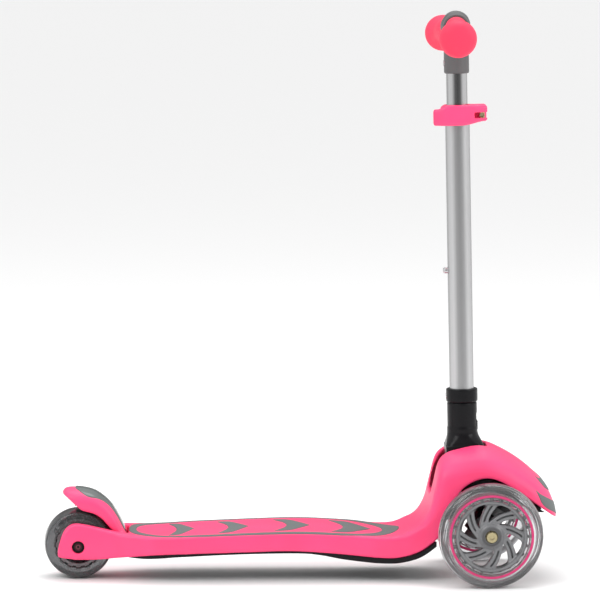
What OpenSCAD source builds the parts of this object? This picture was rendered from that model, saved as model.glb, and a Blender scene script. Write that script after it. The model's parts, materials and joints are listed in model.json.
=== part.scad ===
// Child's three-wheel kick scooter: a folding, height-adjustable stem on a moulded deck,
// two lean-steered front wheels, one rear wheel and a foot brake over it.
// Millimetres. +X is forward, +Y is the rider's left, +Z is up. The origin is on the ground,
// under the middle of the bounding box. Outlines use u, the distance ahead of the rear axle.

/* [Overall] */
// Length from the back of the rear wheel to the tip of the nose
overall_len = 592; // [588:1:600]
// Height of the handlebar tee where its two arms meet
tee_z = 635.5; // [625:0.5:650]
// Rake of the stem, leaning back from vertical, in degrees
rake = 1.17; // [0.8:0.01:1.6]

/* [Wheels] */
// Radius of the front wheels
front_r = 60; // [56:0.5:60]
// Distance from the middle plane to the middle of each front wheel
front_track_half = 92; // [92:0.5:96]
// Radius of the rear wheel
rear_r = 40; // [38:0.5:40]
// Radius of the wheel bolts
bolt_r = 4; // [3.5:0.1:4]

/* [Deck] */
// Half width of the deck's side walls
deck_half = 58; // [56:0.5:60]
// Half width of the nose between the front wheels
nose_half = 62; // [60:0.5:63]
// Wall thickness of the mouldings
wall = 4; // [3:0.5:4.5]
// How far the grey inlays stand above the deck
inlay_up = 0.7; // [0.3:0.1:1.2]

/* [Stem] */
// Outer radius of the lower, fixed tube
outer_tube_r = 14; // [14:0.1:14.5]
// Outer radius of the upper, sliding tube
inner_tube_r = 12; // [11.5:0.1:12]
// Height of the folding pin above the ground, along the stem
pivot_h = 126; // [125:0.5:128]
// Radius of the folding pin
pin_r = 5; // [4:0.5:5]
// Running clearance of every shaft in its hole
fit = 0.05; // [0.03:0.01:0.08]

/* [Hidden] */
$fn = 64;
wheelbase = 469;
rear_x = -overall_len / 2 + rear_r;
stem_u = 446.5;                 // where the stem's axis meets the ground
pivot_back = -2;                // folding pin, behind the stem's axis
kingpin_tilt = 35;              // kingpin leans forward from vertical
tube_top = 541;
tube_foot = 190;
clamp_z = [521, 544.5];
lever_x = 27;                   // clamp bolt, ahead of the stem's axis
lever_y = -15.5;
button_h = 354;
slot_half = 22.5;               // slot in the nose for the neck
slot_u = [398, 469];
slot_floor = 99;
neck_half = 21.3;
arm_in = 27;                    // rear fork arms, inner and outer faces
arm_out = 41;
axle_seat = 7.5;                // depth of the rear axle's seats in the arms
brake_u = 50;                   // brake hinge
brake_z = 50;
brake_half = 26.4;
pad_r = 44.6;
bearing_r = 11;
bearing_w = 7;
front_w = 24;
rear_w = 45;
grip_start = 24;
grip_len = 109;
cover_floor = 3;                // thickness of the under cover's floor
screw_sink = 1.2;               // cover screw heads, up into the cover
liner_half = 52;
neck_screw_h = 209;
tee_screw_h = 592;

PINK = [1, 0.33, 0.54];
GREY = [0.49, 0.52, 0.52];
BLACK = [0.13, 0.13, 0.13];
STEEL = [0.72, 0.73, 0.75];
BRASS = [0.80, 0.70, 0.45];
CLEAR = [0.75, 0.75, 0.78];

// ---------- curves ----------
// One span of a smooth curve through b and c
function span(a, b, c, d, t) =
    0.5 * (2 * b + (c - a) * t + (2 * a - 5 * b + 4 * c - d) * t * t
    + (3 * b - a - 3 * c + d) * t * t * t);

// A smooth curve through all the points of p, with n steps between each two
function curve(p, n = 5) = [
    for (i = [0 : len(p) - 2]) for (k = [0 : n - 1])
        span(p[max(i - 1, 0)], p[i], p[i + 1], p[min(i + 2, len(p) - 1)], k / n),
    p[len(p) - 1]];

function backwards(p) = [for (i = [len(p) - 1 : -1 : 0]) p[i]];
function raised(p, dz) = [for (q = p) q + [0, dz]];
function mirrored(p) = [for (q = backwards(p)) [q[0], -q[1]]];

// ---------- placing ----------
module at_rear(u = 0, z = 0) { translate([rear_x + u, 0, z]) children(); }
module at_front() { at_rear(wheelbase, front_r) children(); }
module on_stem() { at_rear(stem_u) rotate([0, -rake, 0]) children(); }
module on_kingpin() { at_front() rotate([0, kingpin_tilt, 0]) children(); }
module both_sides() {
    children();
    mirror([0, 1, 0]) children();
}

// An outline of [u, z] points made into a slab across the scooter
module slab(points, half) {
    at_rear() rotate([90, 0, 0]) linear_extrude(2 * half, center = true) polygon(points);
}

// The same slab between two distances from the middle plane, on both sides
module side_slabs(points, inner, outer) {
    both_sides() at_rear() translate([0, -inner, 0]) rotate([90, 0, 0])
        linear_extrude(outer - inner) polygon(points);
}

// An outline of [u, y] points made into a tall block
module tall(points, z0 = 0, z1 = 200) {
    at_rear() translate([0, 0, z0]) linear_extrude(z1 - z0) polygon(points);
}

// A cylinder along Y, from y0 to y1
module across(r, y0, y1) {
    translate([0, y0, 0]) rotate([-90, 0, 0]) cylinder(r = r, h = y1 - y0);
}

module tube_across(r, bore, y0, y1) {
    difference() {
        across(r, y0, y1);
        across(bore, y0 - 1, y1 + 1);
    }
}

// A round wire wound about Z, starting at z = 0
module coil(r, wire, pitch, turns, steps = 16, sides = 8) {
    rings = turns * steps;
    points = [for (i = [0 : rings]) for (k = [0 : sides - 1])
        let (a = 360 * i / steps, b = 360 * k / sides, q = r + wire * cos(b))
        [q * cos(a), q * sin(a), pitch * i / steps + wire * sin(b)]];
    faces = concat(
        [[for (k = [0 : sides - 1]) k]],
        [for (i = [0 : rings - 1]) for (k = [0 : sides - 1])
            let (m = (k + 1) % sides, j = i * sides)
            [j + k, j + sides + k, j + sides + m, j + m]],
        [[for (k = [sides - 1 : -1 : 0]) rings * sides + k]]);
    polyhedron(points, faces, convexity = 4);
}

// ---------- outlines ----------
deck_top = curve([[44, 56], [95, 53.5], [150, 55.5], [245, 58.5], [305, 56], [350, 52.5],
    [372, 56], [390, 69], [401, 88], [407, 112], [413, 136], [421, 146], [434, 151]]);
nose_top = curve([[434, 151], [463, 155.5], [491, 145], [519, 126], [540, 102.5], [552, 70]], 8);
arch_edge = curve([[552, 70], [531, 84.5], [504, 104], [482, 117], [466, 120.5], [450, 116],
    [436, 105], [425, 85], [411, 51]], 4);
side_foot = curve([[411, 51], [391, 36.5], [368, 29], [345, 28.5], [299, 33.4], [245, 37],
    [185, 35.8], [105, 33.4], [71, 30.7], [44, 27.5]], 4);

// The whole moulding in side view, and its hollow
side_outline = concat(deck_top, nose_top, arch_edge, side_foot);
deck_hollow = concat(
    curve([[66, 50], [150, 51], [245, 54], [305, 51.5], [350, 48], [376, 53], [395, 68],
        [407, 86], [414, 99]], 4),
    [[424, 99], [424, 20], [56.5, 20], [56.5, 36], [66, 36]]);
nose_hollow = concat(
    curve([[418, 99], [421, 130], [434, 145.5], [463, 150], [491, 140], [518, 121], [537, 98]], 5),
    [[541, 74], [541, 40], [418, 40]]);

// Half width of the moulding in plan, as an outline
plan_half = curve([[44, arm_out], [56, 45.6], [70, 50.4], [88, 54.5], [115, 57.2],
    [150, deck_half], [340, deck_half], [385, 60], [425, nose_half], [500, nose_half], [526, 59], [542, 48],
    [550, 30], [552, 0]], 5);
// The plan outline, drawn in by an inset on both sides
function plan_outline(inset) = let (
    half = [for (p = plan_half) [p[0], max(p[1] - inset, 0)]])
    concat(half, mirrored(half));

// The nose seen from the front: the top rounds over to the side walls
front_half = curve([[0, 157], [slot_half, 153.5], [42, 144], [55, 131], [nose_half, 108]], 5);
fork_arm = concat(curve([[46, 27], [20, 25.5], [-8, 25.5], [-20.5, 27.8], [-23.8, 31],
    [-22, 42], [-17, 56.5], [-10.5, 64], [-3, 66.4], [10, 64.8], [35, 59], [50, 55.5]], 4));

under_foot = curve([[58, 28.6], [75, 27.6], [94, 28.4], [120, 30.4], [185, 33.2], [250, 34],
    [277, 31.8], [300, 27.4], [323, 24.2], [346, 21.9], [369, 22.4], [392, 29], [410, 41.5]], 4);

band_out = curve([[58, 30], [64, 42], [84, 51.5], [140, 54], [245, 54.5], [318, 53], [340, 45],
    [358, 26], [371, 0]], 5);
band_in = curve([[67, 0], [69, 22], [77, 39], [96, 48], [140, 50.5], [245, 51], [312, 49],
    [331, 37], [345, 19], [352, 0]], 5);

// Chevrons on the deck: [tail, notch, tip]
CHEVRONS = [[103, 112.7, 133], [159, 172.5, 196], [224, 240, 267], [289, 305, 337]];
chevron_half = 41;

// One chevron pointing forward: straight outer edges, curved to the tip
function chevron(tail, notch, tip, half) = let (
    lead = curve([[tail, half], [tail + 0.42 * (tip - tail), half * 0.92],
        [tail + 0.72 * (tip - tail), half * 0.5], [tip, 0]], 5),
    trail = curve([[notch, 0], [notch - 0.25 * (notch - tail), half * 0.45], [tail, half]], 5))
    concat(lead, [for (i = [len(lead) - 2 : -1 : 0]) [lead[i][0], -lead[i][1]]],
        [for (i = [len(trail) - 2 : -1 : 0]) [trail[i][0], -trail[i][1]]],
        [for (i = [1 : len(trail) - 2]) trail[i]]);

brake_top = curve([[-19, 98.8], [-13.5, 103.4], [0, 104], [12, 102], [21, 98.5], [31, 91.2],
    [38.6, 83], [46, 71], [53.5, 56]], 5);
brake_foot = curve([[44, 53], [39, 57], [33, 63.5], [27, 70.3], [20, 75.2], [12.8, 77.8],
    [4, 80.3], [-3, 86], [-12, 94], [-19, 98.8]], 4);

// ---------- moulding ----------
// The nose's front view made into a long block, drawn in by an inset
module nose_arch(inset) {
    k = (nose_half - inset) / nose_half;
    right = [for (p = front_half) [p[0] * k, p[1] - inset]];
    at_rear(380) rotate([90, 0, 90]) linear_extrude(180) polygon(concat([[-nose_half * k, 0]],
        backwards([for (p = right) [-p[0], p[1]]]), right, [[nose_half * k, 0]]));
}

module deck_outer() {
    intersection() {
        slab(side_outline, 80);
        tall(plan_outline(0));
        union() {
            at_rear() translate([44, -100, 0]) cube([350, 200, 90]);
            nose_arch(0);
        }
    }
}

module fork() { side_slabs(fork_arm, arm_in, arm_out); }

// A thin layer that follows the top of the deck, from dz0 to dz1 above it
module top_layer(line, dz0, dz1) {
    slab(concat(raised(line, dz1), backwards(raised(line, dz0))), 80);
}

// Everything on the deck's top that is grey, as tall blocks
module deck_marks() {
    difference() {
        tall(concat(band_out, mirrored(band_out)), 40, 80);
        tall(concat(band_in, mirrored(band_in)), 39, 81);
    }
    for (c = CHEVRONS) tall(chevron(c[0], c[1], c[2], chevron_half), 40, 80);
}

module nose_marks() {
    tall(chevron(517, 532, 541, 41), 90, 140);
    tall(chevron(521, 545, 550.5, 54), 60, 140);
}

module brake_clearance() {
    at_rear() across(pad_r + 2.2, -arm_in, arm_in);
    at_rear(brake_u, brake_z) across(7, -arm_in, arm_in);
    at_rear() translate([0, 0, rear_r]) across(48, -arm_in, arm_in);
    at_rear() translate([20, -arm_in, 53]) cube([36, 2 * arm_in, 40]);
}

module bracket_screw_places() {
    for (u = [437, 498]) both_sides() at_rear(u) translate([0, 43, 0]) children();
}

// Places of the cover screws, at the underside of the cover
module cover_screw_places() {
    for (p = [[84, 27.8], [190, 33.3], [300, 27.4], [380, 25]]) both_sides()
        at_rear(p[0], p[1]) translate([0, 38, 0]) children();
}

module deck_body() {
    color(PINK) difference() {
        union() {
            difference() {
                deck_outer();
                intersection() {
                    tall(plan_outline(wall), -1);
                    union() {
                        slab(deck_hollow, 80);
                        intersection() {
                            slab(nose_hollow, 80);
                            nose_arch(wall);
                        }
                    }
                }
            }
            fork();
            for (u = [120, 170, 225, 280, 335]) intersection() {
                deck_outer();
                at_rear(u) translate([-1.5, -deck_half + 1, 40]) cube([3, 2 * deck_half - 2, 40]);
            }
            intersection() {
                deck_outer();
                union() {
                    cover_screw_places() translate([0, 0, cover_floor + 1]) cylinder(r = 5, h = 20);
                    bracket_screw_places() translate([0, 0, 99]) cylinder(r = 5.5, h = 60);
                }
            }
        }
        brake_clearance();
        // slot for the folding neck, open at the top and at the back
        at_rear() translate([slot_u[0], -slot_half, slot_floor])
            cube([slot_u[1] - slot_u[0], 2 * slot_half, 70]);
        // recesses for the inlays
        intersection() { deck_marks(); top_layer(deck_top, -1.5, 10); }
        intersection() { nose_marks(); top_layer(nose_top, -1.8, 12); }
        // rear axle, with a countersunk seat on each side
        at_rear(0, rear_r) across(bolt_r + fit, -60, 60);
        both_sides() at_rear(0, rear_r) across(7.2, arm_out - axle_seat, 60);
        // brake pin
        at_rear(brake_u, brake_z) across(2.5, -36, 36);
        cover_screw_places() cylinder(r = 1.6, h = 20);
        bracket_screw_places() translate([0, 0, 90]) cylinder(r = 2, h = 24);
    }
}

module deck_inlay() {
    color(GREY) difference() {
        intersection() { deck_marks(); top_layer(deck_top, -1.5, inlay_up); }
        brake_clearance();
    }
}

module nose_inlay() {
    color(GREY) intersection() {
        nose_marks();
        top_layer(nose_top, -1.8, inlay_up);
        tall(plan_outline(0));
    }
}

// A shallow tray that closes the deck from below
module under_cover() {
    color(BLACK) difference() {
        intersection() {
            slab(concat(raised(under_foot, 6), backwards(under_foot)), 80);
            tall(plan_outline(wall + 1), -1);
        }
        intersection() {
            slab(concat(raised(under_foot, 20), backwards(raised(under_foot, cover_floor))), 80);
            tall(plan_outline(wall + 4), -1);
        }
        cover_screw_places() {
            cylinder(r = 2.2, h = 60);
            translate([0, 0, -5]) cylinder(r = 3.8, h = 5 + screw_sink);
        }
    }
}

module cover_screws() {
    color(STEEL) cover_screw_places() translate([0, 0, screw_sink]) {
        translate([0, 0, -2.2]) cylinder(r = 3.4, h = 2.2);
        cylinder(r = 1.6, h = 17);
    }
}

// ---------- nose structure ----------
module arch_liner() {
    wing = concat(curve([[434, 96], [447, 111], [466, 118.5], [490, 109], [512, 94], [534, 80]], 4),
        [[528, 80], [515, 84], [490, 96], [466, 104], [450, 98], [440, 88]]);
    color(BLACK) {
        side_slabs(wing, liner_half - 3, liner_half);
        slab([[516, 83], [531, 83], [529, 86], [514, 86]], liner_half - 3);
    }
}

module front_bracket() {
    color(BLACK) difference() {
        union() {
            at_rear(428) translate([0, -48, 92]) cube([78, 96, 5]);
            side_slabs([[424, 97], [470, 97], [470, 138], [452, 143], [430, 140], [424, 128]],
                slot_half + 0.6, slot_half + 8);
            slab([[470, 97], [505, 97], [480, 122], [470, 122]], slot_half + 8);
            on_kingpin() translate([0, 0, 24.2]) cylinder(r = 17, h = 16);
        }
        on_stem() translate([pivot_back, 0, pivot_h]) across(pin_r, -60, 60);
        on_kingpin() cylinder(r = bolt_r + 1, h = 52);
        on_kingpin() translate([0, 0, 40.2]) cylinder(r = 9.5, h = 30);
        bracket_screw_places() cylinder(r = 2.6, h = 120);
        at_rear(498) translate([0, -60, 97.01]) cube([20, 120, 40]);
    }
}

module bracket_screws() {
    color(STEEL) bracket_screw_places() {
        translate([0, 0, 89]) cylinder(r = 4.5, h = 3);
        translate([0, 0, 91]) cylinder(r = 2, h = 21);
    }
}

module lock_plate() {
    color(STEEL) intersection() {
        on_stem() translate([pivot_back, 0, pivot_h]) difference() {
            tube_across(28.5, 21.5, -10, 10);
            translate([12.5 - pivot_back, 0, -40]) cylinder(r = 3, h = 40);
        }
        at_rear(452) translate([0, -12, 97.01]) cube([17.5, 24, 18]);
    }
}

module fold_pin() {
    color(STEEL) on_stem() translate([pivot_back, 0, pivot_h]) {
        across(pin_r, -34, 36);
        across(9, -34.6, -30.6);
    }
}

module fold_pin_nut() {
    color(STEEL) on_stem() translate([pivot_back, 0, pivot_h]) difference() {
        translate([0, 30.7, 0]) rotate([-90, 0, 0]) cylinder(r = 9, h = 4, $fn = 6);
        across(pin_r, 20, 50);
    }
}

// ---------- steering ----------
module kingpin() {
    color(STEEL) on_kingpin() {
        translate([0, 0, -33]) cylinder(r = bolt_r + 1, h = 74);
        translate([0, 0, 40.3]) cylinder(r = 8, h = 5, $fn = 6);
    }
}

module kingpin_nut() {
    color(STEEL) on_kingpin() translate([0, 0, -31]) difference() {
        union() {
            cylinder(r = 8, h = 6, $fn = 6);
            translate([0, 0, 6]) cylinder(r = 11, h = 1.5);
        }
        translate([0, 0, -1]) cylinder(r = bolt_r + 1, h = 12);
    }
}

module bushing(z0, z1, r) {
    on_kingpin() difference() {
        translate([0, 0, z0]) cylinder(r = r, h = z1 - z0);
        translate([0, 0, z0 - 1]) cylinder(r = bolt_r + 1, h = z1 - z0 + 2);
    }
}

module upper_bushing() { color(GREY) bushing(14.2, 24.2, 14); }
module lower_bushing() { color(GREY) bushing(-23.5, -16.2, 12); }

module truck() {
    color(BLACK) difference() {
        union() {
            at_front() {
                across(12, -44, 44);
                both_sides() translate([0, 44, 0]) rotate([-90, 0, 0])
                    cylinder(r1 = 12, r2 = 8.5, h = 32);
                translate([-11, -40, -4]) cube([22, 80, 8]);
            }
            on_kingpin() translate([0, 0, -16]) cylinder(r = 17, h = 30);
        }
        on_kingpin() translate([0, 0, -30]) cylinder(r = bolt_r + 1 + fit, h = 60);
        both_sides() at_front() across(bolt_r, 40, 80);
    }
}

module front_axle_bolts() {
    head = front_track_half + front_w / 2 - 0.4;
    color(BRASS) both_sides() at_front() {
        across(bolt_r, 42, head + 1);
        difference() {
            translate([0, head, 0]) rotate([-90, 0, 0]) cylinder(r1 = 7.4, r2 = 5.8, h = 3.6);
            translate([0, head + 1.4, 0]) rotate([-90, 0, 0]) cylinder(r = 2.9, h = 4, $fn = 6);
        }
    }
}

module front_spacers() {
    y1 = front_track_half - front_w / 2 + 0.4;
    color(STEEL) both_sides() at_front() tube_across(6.5, bolt_r, 76.1, y1);
}

// ---------- wheels ----------
// The clear tyre: a crowned ring, with a groove for the coloured ring on each face
module tyre_ring(r, w, core_r, groove) {
    rotate([-90, 0, 0]) rotate_extrude() difference() {
        polygon(concat(
            [[core_r, -w / 2 + 2.5], [core_r, w / 2 - 2.5]],
            curve([[core_r + 2, w / 2], [r - 7, w / 2 - 0.5], [r - 2.2, w / 2 - 4], [r, 0],
                [r - 2.2, -w / 2 + 4], [r - 7, -w / 2 + 0.5], [core_r + 2, -w / 2]], 5)));
        if (groove > 0) for (s = [-1, 1])
            translate([groove, s * (w / 2 - 1)]) square([2.8, 4], center = true);
    }
}

module lugs(core_r, reach, w, count) {
    for (i = [0 : count - 1]) rotate([0, i * 360 / count, 0])
        translate([core_r - 1, -w / 2, -1.6]) cube([reach + 1, w, 3.2]);
}

// One of the eight openings between the swirled spokes of a front wheel
spoke_gap = concat(curve([[17.5, 2], [22, 13], [31, 19.5]], 4), curve([[31, 19.5], [35.5, 8],
    [36.5, 3]], 4), curve([[36.5, 3], [34, 1.8], [26, 4.5], [20, -1.5], [17.5, 2]], 4));

module front_core(side) {
    color(GREY) at_front() translate([0, side * front_track_half, 0]) difference() {
        union() {
            tube_across(41, 37.5, -9.5, 9.5);
            across(38, -3.5, 3.5);
            across(14.5, -11.5, 11.5);
            lugs(41, 3, 12, 24);
        }
        across(6, -20, 20);
        both_sides() across(bearing_r, 11.5 - bearing_w, 13);
        for (i = [0 : 7]) rotate([0, i * 45, 0]) rotate([90, 0, 0])
            linear_extrude(20, center = true) polygon(spoke_gap);
    }
}

module front_tyre(side) {
    color(CLEAR) at_front() translate([0, side * front_track_half, 0]) difference() {
        tyre_ring(front_r, front_w, 41, 46.6);
        lugs(41, 3, 12, 24);
    }
}

module front_ring(side) {
    color(PINK) at_front() translate([0, side * front_track_half, 0]) both_sides()
        tube_across(48, 45.2, front_w / 2 - 3, front_w / 2 - 0.6);
}

// A pair of shielded ball bearings in one hub
module bearing_pair(outer_face) {
    both_sides() translate([0, outer_face - bearing_w, 0]) rotate([-90, 0, 0]) rotate_extrude()
        polygon([[bolt_r + fit, 0], [bolt_r + fit, bearing_w], [6.4, bearing_w],
            [6.8, bearing_w - 0.6], [9.2, bearing_w - 0.6], [9.6, bearing_w],
            [bearing_r, bearing_w], [bearing_r, 0]]);
}

module front_bearings(side) {
    color(STEEL) at_front() translate([0, side * front_track_half, 0]) bearing_pair(11.5);
}

module core_front_left() { front_core(1); }
module core_front_right() { front_core(-1); }
module tyre_front_left() { front_tyre(1); }
module tyre_front_right() { front_tyre(-1); }
module ring_front_left() { front_ring(1); }
module ring_front_right() { front_ring(-1); }
module bearings_front_left() { front_bearings(1); }
module bearings_front_right() { front_bearings(-1); }

module core_rear() {
    color(BLACK) at_rear(0, rear_r) difference() {
        union() {
            tube_across(25, 21.5, -19, 19);
            across(22, -3, 3);
            across(14.5, -22, 22);
            lugs(25, 3, 30, 16);
        }
        across(6, -30, 30);
        both_sides() across(bearing_r, 22 - bearing_w, 24);
        for (i = [0 : 5]) rotate([0, i * 60, 0]) translate([18, 0, 0]) across(2, -5, 5);
    }
}

module tyre_rear() {
    color(CLEAR) at_rear(0, rear_r) difference() {
        tyre_ring(rear_r, rear_w, 25, 0);
        lugs(25, 3, 30, 16);
    }
}

module bearings_rear() { color(STEEL) at_rear(0, rear_r) bearing_pair(22); }

module rear_axle() {
    color(STEEL) at_rear(0, rear_r) {
        across(bolt_r, -arm_out + axle_seat - 1, arm_out - axle_seat + 3);
        difference() {
            across(6.6, -arm_out + axle_seat - 3, -arm_out + axle_seat);
            translate([0, -arm_out + axle_seat - 3.2, 0]) rotate([-90, 0, 0])
                cylinder(r = 2.6, h = 2.2, $fn = 6);
        }
    }
}

module rear_axle_nut() {
    color(STEEL) at_rear(0, rear_r) difference() {
        across(6.6, arm_out - axle_seat, arm_out - axle_seat + 3.5);
        across(bolt_r, 0, 60);
    }
}

module rear_spacers() {
    color(STEEL) both_sides() at_rear(0, rear_r) tube_across(6.5, bolt_r, 22.1, arm_in - 0.1);
}

// ---------- brake ----------
module brake_shape() {
    difference() {
        union() {
            slab(concat(brake_top, brake_foot), brake_half);
            at_rear(brake_u, brake_z) across(5.5, -brake_half, brake_half);
        }
        at_rear(0, rear_r) across(pad_r + 2.2, -24, 24);
        at_rear(brake_u, brake_z) across(2.5 + fit, -40, 40);
        at_rear(brake_u, brake_z) across(7.5, -9, 9);
    }
}

brake_mark = concat(curve([[-4, 0], [2, 13], [12, 18], [26, 15.5], [40, 13.5], [52, 13]], 4),
    curve([[52, -13], [40, -13.5], [26, -15.5], [12, -18], [2, -13], [-4, 0]], 4));

module brake_skin(dz0, dz1) {
    intersection() {
        tall(brake_mark, 55, 120);
        top_layer([for (p = brake_top) if (p[0] > -8 && p[0] < 52) p], dz0, dz1);
    }
}

module brake_fender() {
    color(PINK) difference() {
        brake_shape();
        brake_skin(-2, 20);
        at_rear(0, rear_r) across(pad_r + 3.4, -15, 15);
    }
}

module brake_overlay() { color(GREY) brake_skin(-2, inlay_up); }

module brake_pad() {
    color(BLACK) intersection() {
        at_rear(0, rear_r) tube_across(pad_r + 3.4, pad_r, -15, 15);
        at_rear(-4) translate([0, -20, 60]) cube([28, 40, 40]);
    }
}

module brake_pin() { color(STEEL) at_rear(brake_u, brake_z) across(2.5, -34, 34); }

module brake_spring() {
    color(STEEL) at_rear(brake_u, brake_z) translate([0, -6, 0]) rotate([-90, 0, 0])
        coil(3.9, 0.7, 2.2, 5.5);
}

// ---------- stem ----------
module neck() {
    color(BLACK) on_stem() difference() {
        union() {
            translate([0, 0, 202]) cylinder(r = 18.2, h = 15.5);
            translate([0, 0, 199]) cylinder(r = 15.6, h = 4);
            translate([0, 0, 160]) cylinder(r = 17.25, h = 39.5);
            hull() {
                translate([0, 0, 164]) cylinder(r = 17.25, h = 1, $fn = 32);
                translate([-20.5, -neck_half, 150]) cube([45, 2 * neck_half, 1]);
            }
            translate([-20.5, -neck_half, 142]) cube([35, 2 * neck_half, 9]);
            translate([pivot_back - 14, -neck_half, pivot_h]) cube([30, 2 * neck_half, 24]);
            translate([pivot_back, 0, pivot_h]) across(20, -neck_half, neck_half);
        }
        translate([0, 0, tube_foot]) cylinder(r = outer_tube_r, h = 40);
        translate([pivot_back, 0, pivot_h]) across(pin_r + fit, -40, 40);
        // channel for the latch, its spring and its slider
        translate([12.5, 0, 100]) cylinder(r = 2.7, h = 81);
        translate([12.5, 0, 140]) cylinder(r = 3.9, h = 20);
        translate([11, -5.1, 167]) cube([10, 10.2, 21]);
        screw_hole(neck_screw_h, 18.6);
    }
}

// A screw through the back of a sleeve into the tube inside it, and the hole that takes it
module back_screw(height, head_x) {
    on_stem() translate([-head_x, 0, height]) rotate([0, 90, 0]) {
        cylinder(r = 2, h = head_x - 10.3);
        cylinder(r = 3.4, h = 1.3);
    }
}

module screw_hole(height, head_x) {
    translate([-head_x - 8, 0, height]) rotate([0, 90, 0]) {
        cylinder(r = 2, h = head_x);
        cylinder(r = 3.5, h = 9.3);
    }
}

module neck_screw() { color(STEEL) back_screw(neck_screw_h, 18.6); }

module pipe(r, bore, z0, z1) {
    difference() {
        translate([0, 0, z0]) cylinder(r = r, h = z1 - z0);
        translate([0, 0, z0 - 1]) cylinder(r = bore, h = z1 - z0 + 2);
    }
}

module outer_tube() {
    color(STEEL) on_stem() difference() {
        pipe(outer_tube_r, inner_tube_r + 0.8, tube_foot, tube_top);
        translate([-20, 0, button_h]) rotate([0, 90, 0]) cylinder(r = 3.8, h = 15);
        screw_hole(neck_screw_h, 18.6);
        translate([5, -1.2, clamp_z[0] + 2]) cube([20, 2.4, 30]);
    }
}

module tube_bushing() {
    color(BLACK) on_stem() {
        pipe(inner_tube_r + 0.8, inner_tube_r + fit, 500, tube_top);
        pipe(outer_tube_r - 0.2, inner_tube_r + fit, tube_top, tube_top + 2);
    }
}

module clamp_collar() {
    h = clamp_z[1] - clamp_z[0];
    color(PINK) on_stem() translate([0, 0, clamp_z[0]]) difference() {
        union() {
            cylinder(r = 19.3, h = h);
            translate([12, -8.5, 0]) cube([21, 17, h]);
        }
        translate([0, 0, -1]) cylinder(r = outer_tube_r, h = h + 2);
        translate([10, -1.5, -1]) cube([30, 3, h + 2]);
        translate([lever_x, 0, h / 2]) across(2.6, -20, 20);
    }
}

module at_clamp_bolt() {
    on_stem() translate([lever_x, 0, (clamp_z[0] + clamp_z[1]) / 2]) children();
}

module clamp_bolt() { color(BRASS) at_clamp_bolt() across(2.5, lever_y + 2, 13.5); }

module clamp_nut() {
    color(BRASS) at_clamp_bolt() difference() {
        across(5.2, 8.6, 13);
        across(2.5, 0, 30);
    }
}

module clamp_barrel() {
    color(BRASS) at_clamp_bolt() translate([0, lever_y, 0]) difference() {
        translate([0, 0, -7]) cylinder(r = 3.2, h = 14);
        across(2.55, -4, 8);
    }
}

lever_outline = concat(
    curve([[33, -13.2], [32, -19.5], [20, -23], [0, -25.6], [-16, -24.6], [-29, -20.5]], 5),
    curve([[-28.6, -16.8], [-16, -19.4], [-6, -20.4], [6, -20.3], [16, -15.6], [20.8, -10.5],
        [27, -8.9]], 5));

module clamp_lever() {
    color(PINK) on_stem() difference() {
        translate([0, 0, clamp_z[0]]) linear_extrude(clamp_z[1] - clamp_z[0])
            polygon(lever_outline);
        translate([lever_x, lever_y, 500]) cylinder(r = 3.2 + fit, h = 60);
        translate([18, -30, (clamp_z[0] + clamp_z[1]) / 2 - 3.2]) cube([20, 25, 6.4]);
    }
}

// ---------- folding latch ----------
module fold_latch() {
    color(STEEL) on_stem() translate([12.5, 0, 0]) {
        translate([0, 0, pivot_h - 12.8]) cylinder(r = 2.6, h = 60);
        translate([0, 0, 142]) cylinder(r = 3.7, h = 2);
    }
}

module latch_slider() {
    color(BLACK) on_stem() difference() {
        union() {
            translate([11.5, -4.9, 168]) cube([5.6, 9.8, 12]);
            for (z = [170 : 2.5 : 178]) translate([17, -4, z]) cube([0.7, 8, 1.2]);
        }
        translate([12.5, 0, 150]) cylinder(r = 2.6, h = 24);
    }
}

module latch_spring() {
    color(STEEL) on_stem() translate([12.5, 0, 145]) coil(3.2, 0.45, 2.9, 4.75);
}

// ---------- height adjustment ----------
module height_button() {
    color(STEEL) on_stem() translate([0, 0, button_h]) rotate([0, -90, 0]) {
        translate([0, 0, 9]) cylinder(r = 2.9, h = 6);
        translate([0, 0, 13]) cylinder(r = 3.75, h = 4.2);
        translate([0, 0, 17.2]) cylinder(r1 = 3.75, r2 = 2.2, h = 2.2);
        translate([0, 0, 7.4]) cylinder(r = 4.4, h = 1.6);
    }
}

module button_spring() {
    color(STEEL) on_stem() translate([9.2, 0, button_h]) rotate([0, -90, 0])
        coil(2.6, 0.45, 3.4, 4.5);
}

module inner_tube() {
    color(STEEL) on_stem() difference() {
        pipe(inner_tube_r, inner_tube_r - 1.4, 240, 604);
        translate([-16, -4, 248]) cube([10, 8, button_h + 4 - 248]);
        screw_hole(tee_screw_h, 15);
    }
}

// ---------- handlebar ----------
module toward_grip(side) {
    on_stem() translate([0, 0, tee_z]) rotate([-side * 6, 0, side * 3.2])
        rotate([-90 * side, 0, 0]) children();
}

module tee() {
    color(GREY) difference() {
        union() {
            on_stem() {
                translate([0, 0, 582]) cylinder(r = 14.4, h = tee_z - 582);
                translate([0, 0, 580]) cylinder(r1 = 12.8, r2 = 14.4, h = 2);
                translate([0, 0, tee_z]) sphere(r = 15);
            }
            for (s = [-1, 1]) toward_grip(s) cylinder(r = 15, h = grip_start - 0.2);
        }
        on_stem() translate([0, 0, 570]) cylinder(r = inner_tube_r, h = 34);
        for (s = [-1, 1]) toward_grip(s) translate([0, 0, 16]) cylinder(r = 9, h = 40);
        on_stem() screw_hole(tee_screw_h, 15);
    }
}

module tee_screw() { color(STEEL) back_screw(tee_screw_h, 15); }

module bar_tubes() {
    color(STEEL) for (s = [-1, 1]) toward_grip(s) pipe(9, 7.6, 16, grip_start + grip_len - 14);
}

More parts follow.
